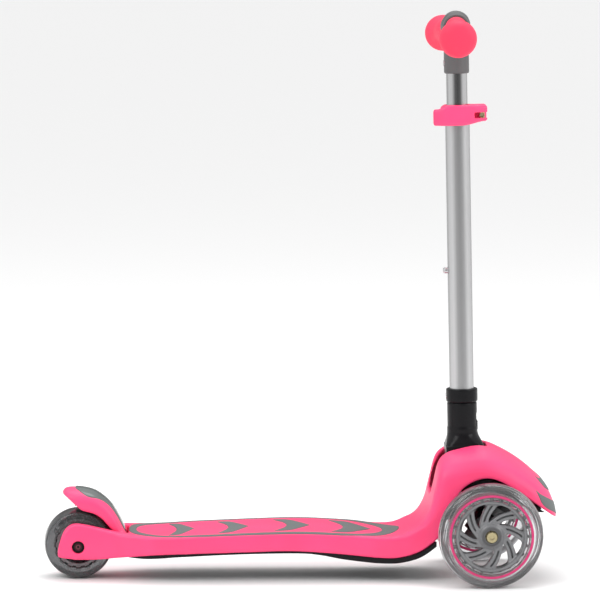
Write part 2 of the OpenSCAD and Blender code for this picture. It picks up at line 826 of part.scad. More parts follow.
// Soft grip: slim beside the tee, swelling slightly under the palm, with a ball end
module grip(side) {
    profile = concat([[9, 0]], curve([[12.2, 0], [12.6, 8], [13, 24], [13.4, 48], [13.8, 62],
        [14.4, 72], [17, 81], [20.4, 90], [20.8, 98], [17, 105.5], [9, 108.6],
        [0, grip_len]], 4), [[0, grip_len - 12], [9, grip_len - 12]]);
    color(PINK) toward_grip(side) translate([0, 0, grip_start]) rotate_extrude() polygon(profile);
}

module grip_left() { grip(1); }
module grip_right() { grip(-1); }

// ---------- the assembly ----------
deck_body();
deck_inlay();
nose_inlay();
under_cover();
cover_screws();
arch_liner();
front_bracket();
bracket_screws();
lock_plate();
fold_pin();
fold_pin_nut();
kingpin();
kingpin_nut();
upper_bushing();
lower_bushing();
rear_axle();
rear_axle_nut();
rear_spacers();
brake_pin();
brake_spring();
truck();
front_axle_bolts();
front_spacers();
core_front_left();
tyre_front_left();
ring_front_left();
bearings_front_left();
core_front_right();
tyre_front_right();
ring_front_right();
bearings_front_right();
core_rear();
tyre_rear();
bearings_rear();
brake_fender();
brake_overlay();
brake_pad();
neck();
neck_screw();
outer_tube();
tube_bushing();
clamp_collar();
clamp_bolt();
clamp_nut();
clamp_barrel();
clamp_lever();
fold_latch();
latch_slider();
latch_spring();
height_button();
button_spring();
inner_tube();
tee();
tee_screw();
bar_tubes();
grip_left();
grip_right();
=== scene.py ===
"""Looks of the child's kick scooter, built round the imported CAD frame.

The mouldings are made from distance fields: plain functions say how far each point of a fine grid
is from a shape, smooth minimums and maximums join the shapes with fillets, and OpenVDB turns the
zero surface into a mesh. Fields work in millimetres, in the row frame's own axes or the stem's.
"""
import bpy, bmesh, json, math
import numpy as np
import openvdb
from mathutils import Matrix, Vector


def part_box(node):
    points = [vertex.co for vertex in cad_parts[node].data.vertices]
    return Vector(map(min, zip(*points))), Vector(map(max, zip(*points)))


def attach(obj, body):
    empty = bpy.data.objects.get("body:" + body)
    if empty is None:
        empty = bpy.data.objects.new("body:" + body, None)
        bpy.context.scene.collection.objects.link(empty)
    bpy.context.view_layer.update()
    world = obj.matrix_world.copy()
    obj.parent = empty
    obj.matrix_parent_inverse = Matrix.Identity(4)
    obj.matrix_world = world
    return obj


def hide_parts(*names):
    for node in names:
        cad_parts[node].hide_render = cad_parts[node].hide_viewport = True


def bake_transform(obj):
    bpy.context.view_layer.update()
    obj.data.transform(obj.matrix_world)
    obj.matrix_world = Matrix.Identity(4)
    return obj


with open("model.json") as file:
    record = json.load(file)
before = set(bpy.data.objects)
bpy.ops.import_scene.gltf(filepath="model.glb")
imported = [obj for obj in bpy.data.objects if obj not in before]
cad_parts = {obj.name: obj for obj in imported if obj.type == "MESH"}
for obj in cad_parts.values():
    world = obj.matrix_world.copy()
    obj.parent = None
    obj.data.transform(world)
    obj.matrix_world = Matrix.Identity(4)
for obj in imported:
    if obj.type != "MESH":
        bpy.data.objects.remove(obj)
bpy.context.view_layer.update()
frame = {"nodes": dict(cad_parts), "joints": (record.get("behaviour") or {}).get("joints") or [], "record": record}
NODES = frame["nodes"]
JOINTS = {j["name"]: j for j in frame["joints"]}
MM = 0.001
DETAIL = 1.0          # coarser grids while trying things


# ---------------------------------------------------------------- places
def middle(node):
    """Middle of a CAD node's box, in metres."""
    low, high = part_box(node)
    return (low + high) / 2


def radius(tyre):
    """A tyre's radius, in millimetres."""
    low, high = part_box(tyre)
    return (high.z - low.z) / 2 / MM


REAR = middle("tyre_rear") / MM               # rear axle, in millimetres
FRONT = middle("tyre_front_left") / MM
FRONT_R = radius("tyre_front_left")
REAR_R = radius("tyre_rear")
TRACK = abs(FRONT.y)
STEM_AXIS = Vector(JOINTS["height_slide"]["axis"]).normalized()
STEM_ACROSS = Vector((STEM_AXIS.z, 0, -STEM_AXIS.x))
TUBE_MIDDLE = middle("outer_tube")
STEM_FOOT = TUBE_MIDDLE - STEM_AXIS * (TUBE_MIDDLE.z / STEM_AXIS.z)
STEM_TURN = Matrix((STEM_ACROSS, (0, 1, 0), STEM_AXIS)).transposed().to_4x4()
STEM = Matrix.Translation(STEM_FOOT) @ STEM_TURN
ROW = Matrix.Translation((REAR.x * MM, 0, 0))   # fields of the deck measure x from the rear axle


# ---------------------------------------------------------------- curves
def curve(points, steps=6):
    """A smooth curve through the points."""
    p = np.array(points, float)
    padded = np.vstack([p[:1], p, p[-1:]])
    t = (np.arange(steps) / steps)[:, None]
    spans = []
    for a, b, c, d in zip(padded, padded[1:], padded[2:], padded[3:]):
        spans.append(0.5 * (2 * b + (c - a) * t + (2 * a - 5 * b + 4 * c - d) * t ** 2
                            + (3 * b - a - 3 * c + d) * t ** 3))
    return np.vstack(spans + [p[-1:]])


def both_halves(points):
    """An outline of [x, y] points with y >= 0, closed by its mirror image."""
    p = np.array(points, float)
    mirror = p[::-1] * (1, -1)
    return np.vstack([p, mirror])


# ---------------------------------------------------------------- distance fields
def axes(low, high, step):
    """Open grids of x, y and z from low to high."""
    step *= DETAIL
    spans = [np.arange(a, b + step, step, dtype=np.float32) for a, b in zip(low, high)]
    return np.ix_(*spans)


def join(a, b, fillet=0.0):
    """Union of two fields, with a fillet in the inner corner."""
    return -both(-a, -b, fillet)


def both(a, b, fillet=0.0):
    """Intersection of two fields, with the edge rounded."""
    if np.all(fillet == 0):
        return np.maximum(a, b)
    h = np.maximum(fillet - np.abs(a - b), 0) / fillet
    return np.maximum(a, b) + h * h * fillet * 0.25


def cut(a, b, fillet=0.0):
    """Field a with b taken away."""
    return both(a, -b, fillet)


def outline(points, X, Y):
    """Distance to a closed outline, negative inside."""
    p = np.array(points, np.float32)
    nearest = np.full(np.broadcast(X, Y).shape, 1e9, np.float32)
    inside = np.zeros(nearest.shape, bool)
    for (x0, y0), (x1, y1) in zip(p, np.roll(p, -1, 0)):
        ex, ey = x1 - x0, y1 - y0
        length2 = ex * ex + ey * ey
        if length2 < 1e-9:
            continue
        t = np.clip(((X - x0) * ex + (Y - y0) * ey) / length2, 0, 1)
        nearest = np.minimum(nearest, (X - x0 - t * ex) ** 2 + (Y - y0 - t * ey) ** 2)
        if y0 != y1:
            inside ^= ((y0 <= Y) != (y1 <= Y)) & (X < x0 + (Y - y0) * ex / (y1 - y0))
    return np.where(inside, -1, 1) * np.sqrt(nearest)


def disc(r, A, B, a=0.0, b=0.0):
    """Distance to a circle about a, b, so to a round bar or a bore."""
    return np.hypot(A - a, B - b) - r


def between(low, high, A):
    """Distance to a slab from low to high."""
    return np.maximum(low - A, A - high)


def rounded_box(half_a, half_b, corner, A, B):
    """Distance to a rectangle with round corners."""
    qa = np.abs(A) - (half_a - corner)
    qb = np.abs(B) - (half_b - corner)
    return np.hypot(np.maximum(qa, 0), np.maximum(qb, 0)) + np.minimum(np.maximum(qa, qb), 0) - corner


def shell_mesh(name, field, X, Y, Z, place, body, material, keep):
    """Turns a field's zero surface into a smooth-shaded piece, with a share of its faces kept."""
    step = float(X[1, 0, 0] - X[0, 0, 0])
    far = 4 * step
    field = np.ascontiguousarray(np.broadcast_to(field, np.broadcast(X, Y, Z).shape), np.float32)
    field = np.clip(field, -far, far)
    for side in (0, -1):
        field[side] = field[:, side] = field[:, :, side] = far
    grid = openvdb.FloatGrid(far)
    grid.copyFromArray(field)
    points, quads = grid.convertToQuads(0.0)
    points = points * step + np.array([X[0, 0, 0], Y[0, 0, 0], Z[0, 0, 0]])
    mesh = bpy.data.meshes.new(name)
    mesh.from_pydata((points * MM).tolist(), [], quads[:, ::-1].tolist())
    piece = bpy.data.objects.new(name, mesh)
    bpy.context.scene.collection.objects.link(piece)
    mesh.transform(place)
    thin = piece.modifiers.new("thin", "DECIMATE")
    thin.ratio = keep
    return finish_piece(piece, body, material)


def finish_piece(piece, body, material):
    """Applies modifiers, faces the mesh outwards, and puts the piece on its body."""
    depsgraph = bpy.context.evaluated_depsgraph_get()
    mesh = bpy.data.meshes.new_from_object(piece.evaluated_get(depsgraph))
    piece.modifiers.clear()
    piece.data = mesh
    work = bmesh.new()
    work.from_mesh(mesh)
    if work.calc_volume(signed=True) < 0:
        bmesh.ops.reverse_faces(work, faces=work.faces)
    work.to_mesh(mesh)
    work.free()
    mesh.shade_smooth()
    mesh.materials.clear()
    mesh.materials.append(material)
    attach(piece, body)
    return piece


def lathe(name, profile, place, body, material, turns=96):
    """A turned piece: [radius, height] points about the local z axis."""
    work = bmesh.new()
    rings = []
    for r, z in profile:
        if r < 1e-4:
            rings.append([work.verts.new((0, 0, z * MM))])
            continue
        angles = np.arange(turns) * 2 * math.pi / turns
        rings.append([work.verts.new((r * MM * math.cos(a), r * MM * math.sin(a), z * MM))
                      for a in angles])
    closed = len(rings[0]) > 1 and len(rings[-1]) > 1
    pairs = list(zip(rings, rings[1:])) + ([(rings[-1], rings[0])] if closed else [])
    for low, high in pairs:
        for k in range(turns):
            m = (k + 1) % turns
            corners = [low[k % len(low)], low[m % len(low)], high[m % len(high)], high[k % len(high)]]
            corners = list(dict.fromkeys(corners))
            if len(corners) > 2:
                work.faces.new(corners)
    mesh = bpy.data.meshes.new(name)
    work.to_mesh(mesh)
    work.free()
    mesh.transform(place)
    piece = bpy.data.objects.new(name, mesh)
    bpy.context.scene.collection.objects.link(piece)
    return finish_piece(piece, body, material)


def axis_place(x, y, z, towards):
    """Local z axis along a direction, at a point in millimetres."""
    turn = Vector((0, 0, 1)).rotation_difference(Vector(towards)).to_matrix().to_4x4()
    return Matrix.Translation(Vector((x, y, z)) * MM) @ turn


# ---------------------------------------------------------------- materials
def new_material(name):
    """A node material with its tree and its shader."""
    material = bpy.data.materials.new(name)
    material.use_nodes = True
    nodes, links = material.node_tree.nodes, material.node_tree.links
    return material, nodes, links, nodes["Principled BSDF"]


def noise(nodes, links, coords, scale, detail=3.0, stretch=None):
    """A noise texture in metres, finer as scale grows, stretched by dividing along an axis."""
    source = coords
    if stretch:
        mapping = nodes.new("ShaderNodeMapping")
        mapping.inputs["Scale"].default_value = stretch
        links.new(coords, mapping.inputs["Vector"])
        source = mapping.outputs["Vector"]
    texture = nodes.new("ShaderNodeTexNoise")
    texture.inputs["Scale"].default_value = scale
    texture.inputs["Detail"].default_value = detail
    links.new(source, texture.inputs["Vector"])
    return texture.outputs["Fac"]


def ramp(nodes, links, fac, low, high, start=0.3, end=0.7):
    """Fac turned into a colour or a grey between low and high."""
    made = nodes.new("ShaderNodeValToRGB")
    made.color_ramp.elements[0].position = start
    made.color_ramp.elements[1].position = end
    for element, value in zip(made.color_ramp.elements, (low, high)):
        element.color = (*value, 1) if not isinstance(value, float) else (value, value, value, 1)
    links.new(fac, made.inputs["Fac"])
    return made.outputs["Color"]


def tint(colour, factor):
    """A colour made lighter or darker."""
    return tuple(min(c * factor, 1.0) for c in colour)


def moulded(name, colour, rough, spread=0.06, vary=0.06, grain=900, bump=0.06, coat=0.0,
            metallic=0.0, stretch=None, edge=0.0006, specular=0.5):
    """Plastic, rubber or metal with slight colour, gloss and surface variation."""
    material, nodes, links, shader = new_material(name)
    coords = nodes.new("ShaderNodeTexCoord").outputs["Object"]
    broad = noise(nodes, links, coords, 22, 2.0)
    fine = noise(nodes, links, coords, grain, 3.0, stretch)
    links.new(ramp(nodes, links, broad, tint(colour, 1 - vary), tint(colour, 1 + vary)),
              shader.inputs["Base Color"])
    links.new(ramp(nodes, links, fine, rough - spread, rough + spread), shader.inputs["Roughness"])
    relief = nodes.new("ShaderNodeBump")
    relief.inputs["Strength"].default_value = bump
    relief.inputs["Distance"].default_value = 0.0003
    links.new(fine, relief.inputs["Height"])
    if edge:
        bevel = nodes.new("ShaderNodeBevel")
        bevel.samples = 4
        bevel.inputs["Radius"].default_value = edge
        links.new(bevel.outputs["Normal"], relief.inputs["Normal"])
    links.new(relief.outputs["Normal"], shader.inputs["Normal"])
    shader.inputs["Metallic"].default_value = metallic
    shader.inputs["Coat Weight"].default_value = coat
    shader.inputs["Coat Roughness"].default_value = 0.15
    shader.inputs["Specular IOR Level"].default_value = specular
    return material


def stepped_colour(material, fac, stops, interpolation="LINEAR"):
    """Sets a material's colour by fac: stops lists [place from 0 to 1, colour]."""
    nodes, links = material.node_tree.nodes, material.node_tree.links
    made = nodes.new("ShaderNodeValToRGB")
    made.color_ramp.interpolation = interpolation
    elements = made.color_ramp.elements
    while len(elements) < len(stops):
        elements.new(0.5)
    for element, (place, colour) in zip(elements, stops):
        element.position = place
        element.color = (*colour, 1)
    links.new(fac, made.inputs["Fac"])
    links.new(made.outputs["Color"], nodes["Principled BSDF"].inputs["Base Color"])


def painted_reflection_tube(name, bands, rough):
    """Drawn aluminium with a painted reflection: a soft grey that changes round the tube, darker in its middle and
    lighter towards its edges as seen from the side, with fine lines along it.

    bands lists [how far the surface faces sideways, grey] pairs, from 0 in the middle to 1.
    """
    material = moulded(name, (0.5, 0.5, 0.5), rough, spread=0.03, vary=0.03, grain=1500, bump=0.01,
                       metallic=1.0, stretch=(1, 1, 0.02), edge=0)
    nodes, links = material.node_tree.nodes, material.node_tree.links
    split = nodes.new("ShaderNodeSeparateXYZ")
    links.new(nodes["Texture Coordinate"].outputs["Normal"], split.inputs["Vector"])
    sideways = nodes.new("ShaderNodeMath")
    sideways.operation = "ABSOLUTE"
    links.new(split.outputs["X"], sideways.inputs[0])
    stops = [(place, (grey, grey, grey * 1.01)) for place, grey in bands]
    stepped_colour(material, sideways.outputs[0], stops)
    return material


HEAD_REACH = 10.0                              # past the edge of a bolt head, in millimetres


def painted_shade_bolt_head(name, x, z, rings):
    """A bolt head with its socket and recess as painted shade: dark rings about a line across the row at x, z.

    rings lists [inner radius in mm, colour] pairs, from the middle out.
    """
    material = moulded(name, rings[-1][1], 0.38, vary=0.2, edge=0, specular=0.15)
    nodes, links = material.node_tree.nodes, material.node_tree.links
    flat = nodes.new("ShaderNodeVectorMath")
    flat.operation = "MULTIPLY"
    flat.inputs[1].default_value = (1, 0, 1)
    links.new(nodes.new("ShaderNodeNewGeometry").outputs["Position"], flat.inputs[0])
    reach = nodes.new("ShaderNodeVectorMath")
    reach.operation = "DISTANCE"
    reach.inputs[1].default_value = (x, 0, z)
    links.new(flat.outputs["Vector"], reach.inputs[0])
    share = nodes.new("ShaderNodeMath")
    share.operation = "DIVIDE"
    share.inputs[1].default_value = HEAD_REACH * MM
    links.new(reach.outputs["Value"], share.inputs[0])
    stops = [(r / HEAD_REACH, colour) for r, colour in rings]
    stepped_colour(material, share.outputs[0], stops, "CONSTANT")
    return material


def clear_urethane(name, colour, rough, clarity):
    """Cast urethane that light passes through, with faint flow marks."""
    material, nodes, links, shader = new_material(name)
    coords = nodes.new("ShaderNodeTexCoord").outputs["Object"]
    flow = noise(nodes, links, coords, 60, 2.0)
    links.new(ramp(nodes, links, flow, tint(colour, 0.94), tint(colour, 1.04)),
              shader.inputs["Base Color"])
    links.new(ramp(nodes, links, flow, rough, rough + 0.06), shader.inputs["Roughness"])
    relief = nodes.new("ShaderNodeBump")
    relief.inputs["Strength"].default_value = 0.05
    relief.inputs["Distance"].default_value = 0.0004
    links.new(flow, relief.inputs["Height"])
    links.new(relief.outputs["Normal"], shader.inputs["Normal"])
    shader.inputs["Transmission Weight"].default_value = clarity
    shader.inputs["IOR"].default_value = 1.46
    return material


PINK = moulded("pink_plastic", (0.95, 0.058, 0.185), 0.42, grain=1400, bump=0.05, edge=0,
               specular=0.35)
GRIP_PINK = moulded("pink_grip", (0.86, 0.038, 0.095), 0.6, grain=2600, bump=0.25, edge=0,
                    specular=0.3)
RING_PINK = moulded("pink_ring", (0.60, 0.04, 0.16), 0.45, edge=0, specular=0.3)
GREY_RUBBER = moulded("grey_rubber", (0.115, 0.13, 0.128), 0.62, grain=3200, bump=0.35, edge=0)
GLOSS_GREY = moulded("grey_overlay", (0.10, 0.115, 0.112), 0.15, grain=2200, bump=0.1, edge=0)
TEE_GREY = moulded("grey_plastic", (0.085, 0.084, 0.086), 0.5, grain=2200, bump=0.2, edge=0)
CORE_GREY = moulded("core_grey", (0.15, 0.152, 0.158), 0.28, coat=0.3, edge=0)
BLACK = moulded("black_plastic", (0.006, 0.006, 0.007), 0.26, grain=1800, bump=0.1, vary=0.2,
                specular=0.14)
# Both tube materials have painted reflection: light and dark bands painted into the grey by the way the surface
# faces.
TUBE = painted_reflection_tube("alu_tube", [(0, 0.30), (0.3, 0.31), (0.6, 0.50), (0.85, 0.50), (1, 0.3)], 0.32)
CHROME_TUBE_PAINTED_REFLECTION = painted_reflection_tube("alu_tube_bright_painted_reflection", [(0, 0.09), (0.25, 0.12), (0.55, 0.5), (0.8, 0.55),
                                              (1, 0.25)], 0.18)
STEEL = moulded("steel", (0.48, 0.48, 0.49), 0.30, metallic=1.0, vary=0.12)
DARK_STEEL = moulded("dark_steel", (0.035, 0.034, 0.036), 0.38, metallic=1.0, vary=0.2)
# Painted shade: the dark middle and the dark rings stand for shade in the bolt's socket and in the recess round
# it; the maroon ring from 1.3 mm is a lighter ring on the head.
AXLE_HEAD_PAINTED_SHADE = painted_shade_bolt_head("axle_head_painted_shade", REAR.x * MM, REAR_R * MM, [
    (0, (0.02, 0.012, 0.014)), (1.3, (0.26, 0.08, 0.10)), (2.6, (0.05, 0.012, 0.02)),
    (4.4, (0.003, 0.002, 0.002))])
SHIELD = moulded("bearing_shield", (0.15, 0.15, 0.155), 0.36, metallic=1.0, vary=0.2)
BRASS = moulded("brass", (0.42, 0.36, 0.21), 0.27, metallic=1.0, vary=0.12)
URETHANE = moulded("urethane", (0.09, 0.095, 0.095), 0.55, grain=1500, bump=0.2)
CLEAR = clear_urethane("clear_tyre", (0.62, 0.615, 0.63), 0.05, 0.92)
SMOKE = clear_urethane("smoke_tyre", (0.13, 0.135, 0.14), 0.10, 0.75)

SLOT_MATERIAL = {
    "pink_plastic": PINK, "pink_grip": GRIP_PINK, "pink_ring": RING_PINK,
    "grey_rubber": GREY_RUBBER, "grey_plastic": TEE_GREY, "core_grey": CORE_GREY,
    "black_plastic": BLACK, "alu_tube": TUBE, "steel": STEEL, "brass": BRASS,
    "urethane": URETHANE, "clear_tyre": CLEAR, "smoke_tyre": SMOKE,
}
# CAD nodes whose finish differs from the rest of their slot; the inner tube's bands are painted reflection and the
# axle head's dark rings painted shade
NODE_MATERIAL = {
    "inner_tube": CHROME_TUBE_PAINTED_REFLECTION, "rear_axle": AXLE_HEAD_PAINTED_SHADE, "rear_axle_nut": AXLE_HEAD_PAINTED_SHADE,
    "rear_spacers": DARK_STEEL, "bearings_front_left": SHIELD, "bearings_front_right": SHIELD,
    "bearings_rear": SHIELD,
}
for part in frame["record"]["subparts"]:
    node = NODES[part["node"]]
    finish = NODE_MATERIAL.get(part["node"], SLOT_MATERIAL[part["material_slot"]])
    if not node.material_slots:
        node.data.materials.append(finish)
    for one in node.material_slots:
        one.material = finish


# ---------------------------------------------------------------- springs
def coil(node, joint):
    """A spring: a steel copy of its mesh in the CAD node's place, with the CAD node hidden."""
    link = JOINTS[joint]
    piece = bpy.data.objects.new(node.replace("spring", "coil"), NODES[node].data.copy())
    bpy.context.scene.collection.objects.link(piece)
    piece.matrix_world = NODES[node].matrix_world.copy()
    piece.data.materials.clear()
    piece.data.materials.append(STEEL)
    axis = Vector(link["axis"]).normalized()
    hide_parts(node)
    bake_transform(piece)


coil("latch_spring", "latch_slide")
coil("button_spring", "button_press")


# ---------------------------------------------------------------- deck moulding
DECK_TOP = [(50, 55.5), (95, 53.5), (150, 55.5), (245, 58.5), (305, 56), (350, 52.5), (372, 56),
            (390, 69), (401, 88), (407, 112), (413, 136), (421, 146), (434, 151)]
NOSE_TOP = [(434, 151), (463, 155.5), (491, 145), (519, 126), (541, 102), (554, 67)]
ARCH = [(554, 67), (532, 84), (504, 104), (482, 117), (466, 120.5), (450, 116), (436, 105),
        (425, 85), (411, 51)]
SIDE_FOOT = [(411, 51), (391, 36.5), (368, 29), (345, 28.5), (299, 33.4), (245, 37),
             (185, 35.8), (105, 33.4), (71, 30.7), (44, 27.5), (20, 25.5), (-8, 25.5)]
FORK_BACK = [(-8, 25.5), (-20.5, 27.8), (-23.8, 31), (-22, 42), (-17, 56.5), (-10.5, 64),
             (-3, 66.4), (10, 64.8), (35, 59), (50, 55.5)]
TOP_LINE = curve(DECK_TOP + NOSE_TOP[1:], 8)
# The moulding lies under the top outline and over the foot outline
UNDER_TOP = np.vstack([curve(FORK_BACK, 6), TOP_LINE[1:], [(554, 0), (-8, 0)]])
OVER_FOOT = np.vstack([curve(SIDE_FOOT[::-1], 6), curve(ARCH[::-1], 6)[1:],
                       [(600, 70), (600, 260), (-60, 260), (-60, 25.5)]])
PLAN_HALF = [(-26, 41), (30, 41.3), (48, 44), (66, 49.5), (88, 54.5), (115, 57.2), (150, 58),
             (340, 58), (385, 60), (425, 62), (500, 62), (526, 59), (543.5, 48), (552, 30), (554, 0)]
DECK_WALL = 4.0
NECK_SLOT = 22.5                               # half the width of the slot that the neck stands in
NOSE_START = 330                               # the moulding's top is flat across up to here
# Along the nose: how far its top falls at the rim, and how far out that is
CROWN_FALL = ([NOSE_START, 385, 425, 500, 530, 552], [6, 14, 42, 42, 30, 18])
CROWN_HALF = ([NOSE_START, 385, 425, 500, 526, 542, 552], [58, 60, 62, 62, 60, 54, 48])
CROWN_POWER = 2.6
SHOULDER_Z = 60                                # the nose's sides stand straight below this
WIDEST_Z = 44                                  # height at which the deck's side is widest
TUCK = 1.6
AXLE_SEAT_R = 7.2
AXLE_SEAT_Y = 33.5
BRAKE_PIN = (50, 50)                           # back to front and up, from under the rear axle


def top_height(u):
    """Height of the moulding's middle line."""
    return np.interp(u, TOP_LINE[:, 0], TOP_LINE[:, 1])


def smooth_step(t):
    """From 0 to 1 without corners."""
    t = np.clip(t, 0, 1)
    return t * t * (3 - 2 * t)


def crown(u, y):
    """How far the moulding's top falls away from the middle to a point y off it."""
    reach = np.clip(np.abs(y) / np.interp(u, *CROWN_HALF), 0, 1)
    fall = np.interp(u, *CROWN_FALL) * (1 - (1 - reach ** CROWN_POWER) ** (1 / CROWN_POWER))
    return fall * smooth_step((u - NOSE_START) / 60)


def side_field(points, X, Y, Z, lift):
    """A side outline's field, looked up higher by lift so that its top falls away."""
    flat = outline(points, X[:, 0, :], Z[0, :, :] + 0 * X[:, 0, :])
    step = float(Z[0, 0, 1] - Z[0, 0, 0])
    index = (Z - Z[0, 0, 0] + lift) / step
    index = np.clip(index, 0, Z.shape[2] - 1.001)
    low = index.astype(int)
    share = index - low
    rows = np.arange(X.shape[0])[:, None, None]
    return flat[rows, low] * (1 - share) + flat[rows, low + 1] * share


def plan_field(X, Y):
    """Distance to the moulding's outline seen from above."""
    return outline(both_halves(curve(PLAN_HALF, 5)), X, Y)


def falling(X, Y, Z):
    """How far the moulding's skin has dropped from its middle line at each point."""
    shoulder = np.maximum(top_height(X) - SHOULDER_Z, 1)
    return crown(X, Y) * smooth_step((Z - SHOULDER_Z) / shoulder)


def tucked(X, Z):
    """How far the deck's side draws in above and below its widest line."""
    return TUCK * np.clip((Z - WIDEST_Z) / 16, -1, 1) ** 2 * np.clip((420 - X) / 40, 0, 1)


def deck_solid(X, Y, Z):
    """The moulding as a solid block, before it is hollowed."""
    top = side_field(UNDER_TOP, X, Y, Z, falling(X, Y, Z))
    rim = 4.0 + 6.0 * smooth_step((X - 350) / 60)
    body = both(top, plan_field(X, Y) + tucked(X, Z), rim)
    return both(body, side_field(OVER_FOOT, X, Y, Z, 0.0), 2.5)


DECK_HOLLOW = [(66, 49), (95, 49), (150, 51), (245, 54), (305, 51.5), (350, 48), (376, 53), (395, 68),
               (406, 90), (410, 118), (421, 139), (434, 145.5), (463, 150), (491, 140), (518, 121),
               (537, 98)]


def deck_shell():
    """The pink moulding, with its hollow, the neck's slot and the rear wheel's well."""
    X, Y, Z = axes((-28, -66, 18), (556, 66, 162), 1.25)
    side_y = np.abs(Y)
    body = deck_solid(X, Y, Z)
    hollow_side = np.vstack([curve(DECK_HOLLOW, 5), [(542, 74), (542, 0), (66, 0)]])
    hollow = side_field(hollow_side, X, Y, Z, falling(X, Y, Z))
    hollow = both(hollow, plan_field(X, Y) + tucked(X, Z) + DECK_WALL, 5.0)
    body = cut(body, hollow, 1.5)
    sill = both(both(between(396, 434, X), between(88, 98.5, Z)), side_y - NECK_SLOT - 4)
    body = join(body, both(sill, deck_solid(X, Y, Z) + 1.0), 2.0)
    slot = both(both(between(396, 469.2, X), 99 - Z, 3.0), side_y - NECK_SLOT, 6.0)
    body = cut(body, slot, 3.5)
    wheel_well = join(disc(REAR_R + 8, X, Z, 0, REAR_R), disc(7.4, X, Z, *BRAKE_PIN), 3.0)
    wheel_well = join(wheel_well, both(between(10, 57, X), 53 - Z), 2.0)
    body = cut(body, both(wheel_well, side_y - 27, 2.0), 2.0)
    body = cut(body, both(disc(AXLE_SEAT_R, X, Z, 0, REAR_R), AXLE_SEAT_Y - side_y), 1.2)
    piece = shell_mesh("deck_shell", body, X, Y, Z, ROW, "deck", PINK, 0.45)
    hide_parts("deck_body")


# ---------------------------------------------------------------- inlays
BAND_OUT = [(58, 0), (58.5, 15), (62, 29), (70, 40), (84, 48), (104, 53), (140, 56.2), (245, 56.7),
            (310, 56), (332, 51.5), (351, 39), (364, 22), (369.5, 8), (370, 0)]
BAND_IN = [(66.5, 0), (68, 14), (73, 26), (82, 35.5), (95, 43), (114, 48.4), (145, 50.2),
           (245, 50.6), (302, 49.5), (323, 43), (339, 29), (348, 13), (350, 0)]
CHEVRON_HALF = 41
# Tail, notch and tip of each chevron on the deck
DECK_CHEVRONS = [(103, 112.7, 133), (159, 172.5, 196), (224, 240, 267), (289, 305, 337)]
# The nose's chevrons, as [z, distance round the nose]: upper edge from the middle out, then lower
NOSE_CHEVRONS = [
    ([(113, 0), (114, 14), (116, 29), (119.5, 38)], [(119.5, 38), (108, 37.5), (102, 26), (98.5, 0)]),
    ([(87.5, 0), (89, 18), (93.3, 35.3), (101, 49.5), (108.5, 56)],
     [(108.5, 56), (98.4, 53.5), (89.2, 50.1), (81.5, 41), (74.5, 22), (72.5, 0)])]
NOSE_TURN = 480                                # the nose's marks wrap round this line, at NOSE_REACH
NOSE_REACH = 60


def chevron(tail, notch, tip, half):
    """A chevron pointing forward: straight outer edges, curved to the tip."""
    lead = curve([(tail, half), (tail + 0.42 * (tip - tail), half * 0.92),
                  (tail + 0.72 * (tip - tail), half * 0.5), (tip, 0)], 5)
    trail = curve([(notch, 0), (notch - 0.25 * (notch - tail), half * 0.45), (tail, half)], 5)
    return both_halves(np.vstack([trail[1:], lead[1:]]))


def marks_field(shapes, A, B):
    """Distance, seen square on, to the nearest of several outlines."""
    return np.minimum.reduce([outline(shape, A, B) for shape in shapes])


PAD_UP = 0.7                                   # how far the deck's inlays stand proud
PAD_SINK = 1.4
PAD_RIM = 1.1


def pad(skin, marks, up):
    """A thin layer over a skin, with its rim rounded."""
    return both(both(skin - up, -(skin + PAD_SINK)), marks, PAD_RIM)


def deck_pads():
    """The grey inlays on the deck and on the nose."""
    X, Y, Z = axes((55, -57, 48), (374, 57, 62), 0.8)
    skin = deck_solid(X, Y, Z)
    band = cut(outline(both_halves(curve(BAND_OUT, 5)), X, Y),
               outline(both_halves(curve(BAND_IN, 5)), X, Y))
    marks = join(band, marks_field([chevron(*c, CHEVRON_HALF) for c in DECK_CHEVRONS], X, Y))
    piece = shell_mesh("deck_pads", pad(skin, marks, PAD_UP), X, Y, Z, ROW, "deck",
                       GREY_RUBBER, 0.6)
    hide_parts("deck_inlay")
    X, Y, Z = axes((505, -60, 64), (557, 60, 134), 0.8)
    shapes = [both_halves(np.vstack([curve(upper, 5)[:-1], curve(lower, 5)]))
              for upper, lower in NOSE_CHEVRONS]
    marks = marks_field(shapes, Z, NOSE_REACH * np.arctan2(Y, X - NOSE_TURN))
    piece = shell_mesh("nose_pads", pad(deck_solid(X, Y, Z), marks, PAD_UP), X, Y, Z, ROW,
                       "deck", GREY_RUBBER, 0.6)
    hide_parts("nose_inlay")


# ---------------------------------------------------------------- brake
BRAKE_TOP = [(-19, 98.8), (-13.5, 103.4), (0, 104), (12, 102), (21, 98.5), (31, 91.2), (38.6, 83),
             (46, 71), (53.5, 56)]
BRAKE_FOOT = [(44, 53), (39, 57), (33, 63.5), (27, 70.3), (20, 75.2), (12.8, 77.8), (4, 80.3),
              (-3, 86), (-12, 94), (-19, 98.8)]
BRAKE_HALF = 26.4
BRAKE_PLAN = [(-20, 0), (-18.5, 14), (-13, 22), (-3, 26), (10, BRAKE_HALF), (58, BRAKE_HALF)]
BRAKE_MARK = [(-4, 0), (-3, 9), (3, 18), (10, 22.5), (18, 22), (28, 18), (40, 15.5), (54, 14)]


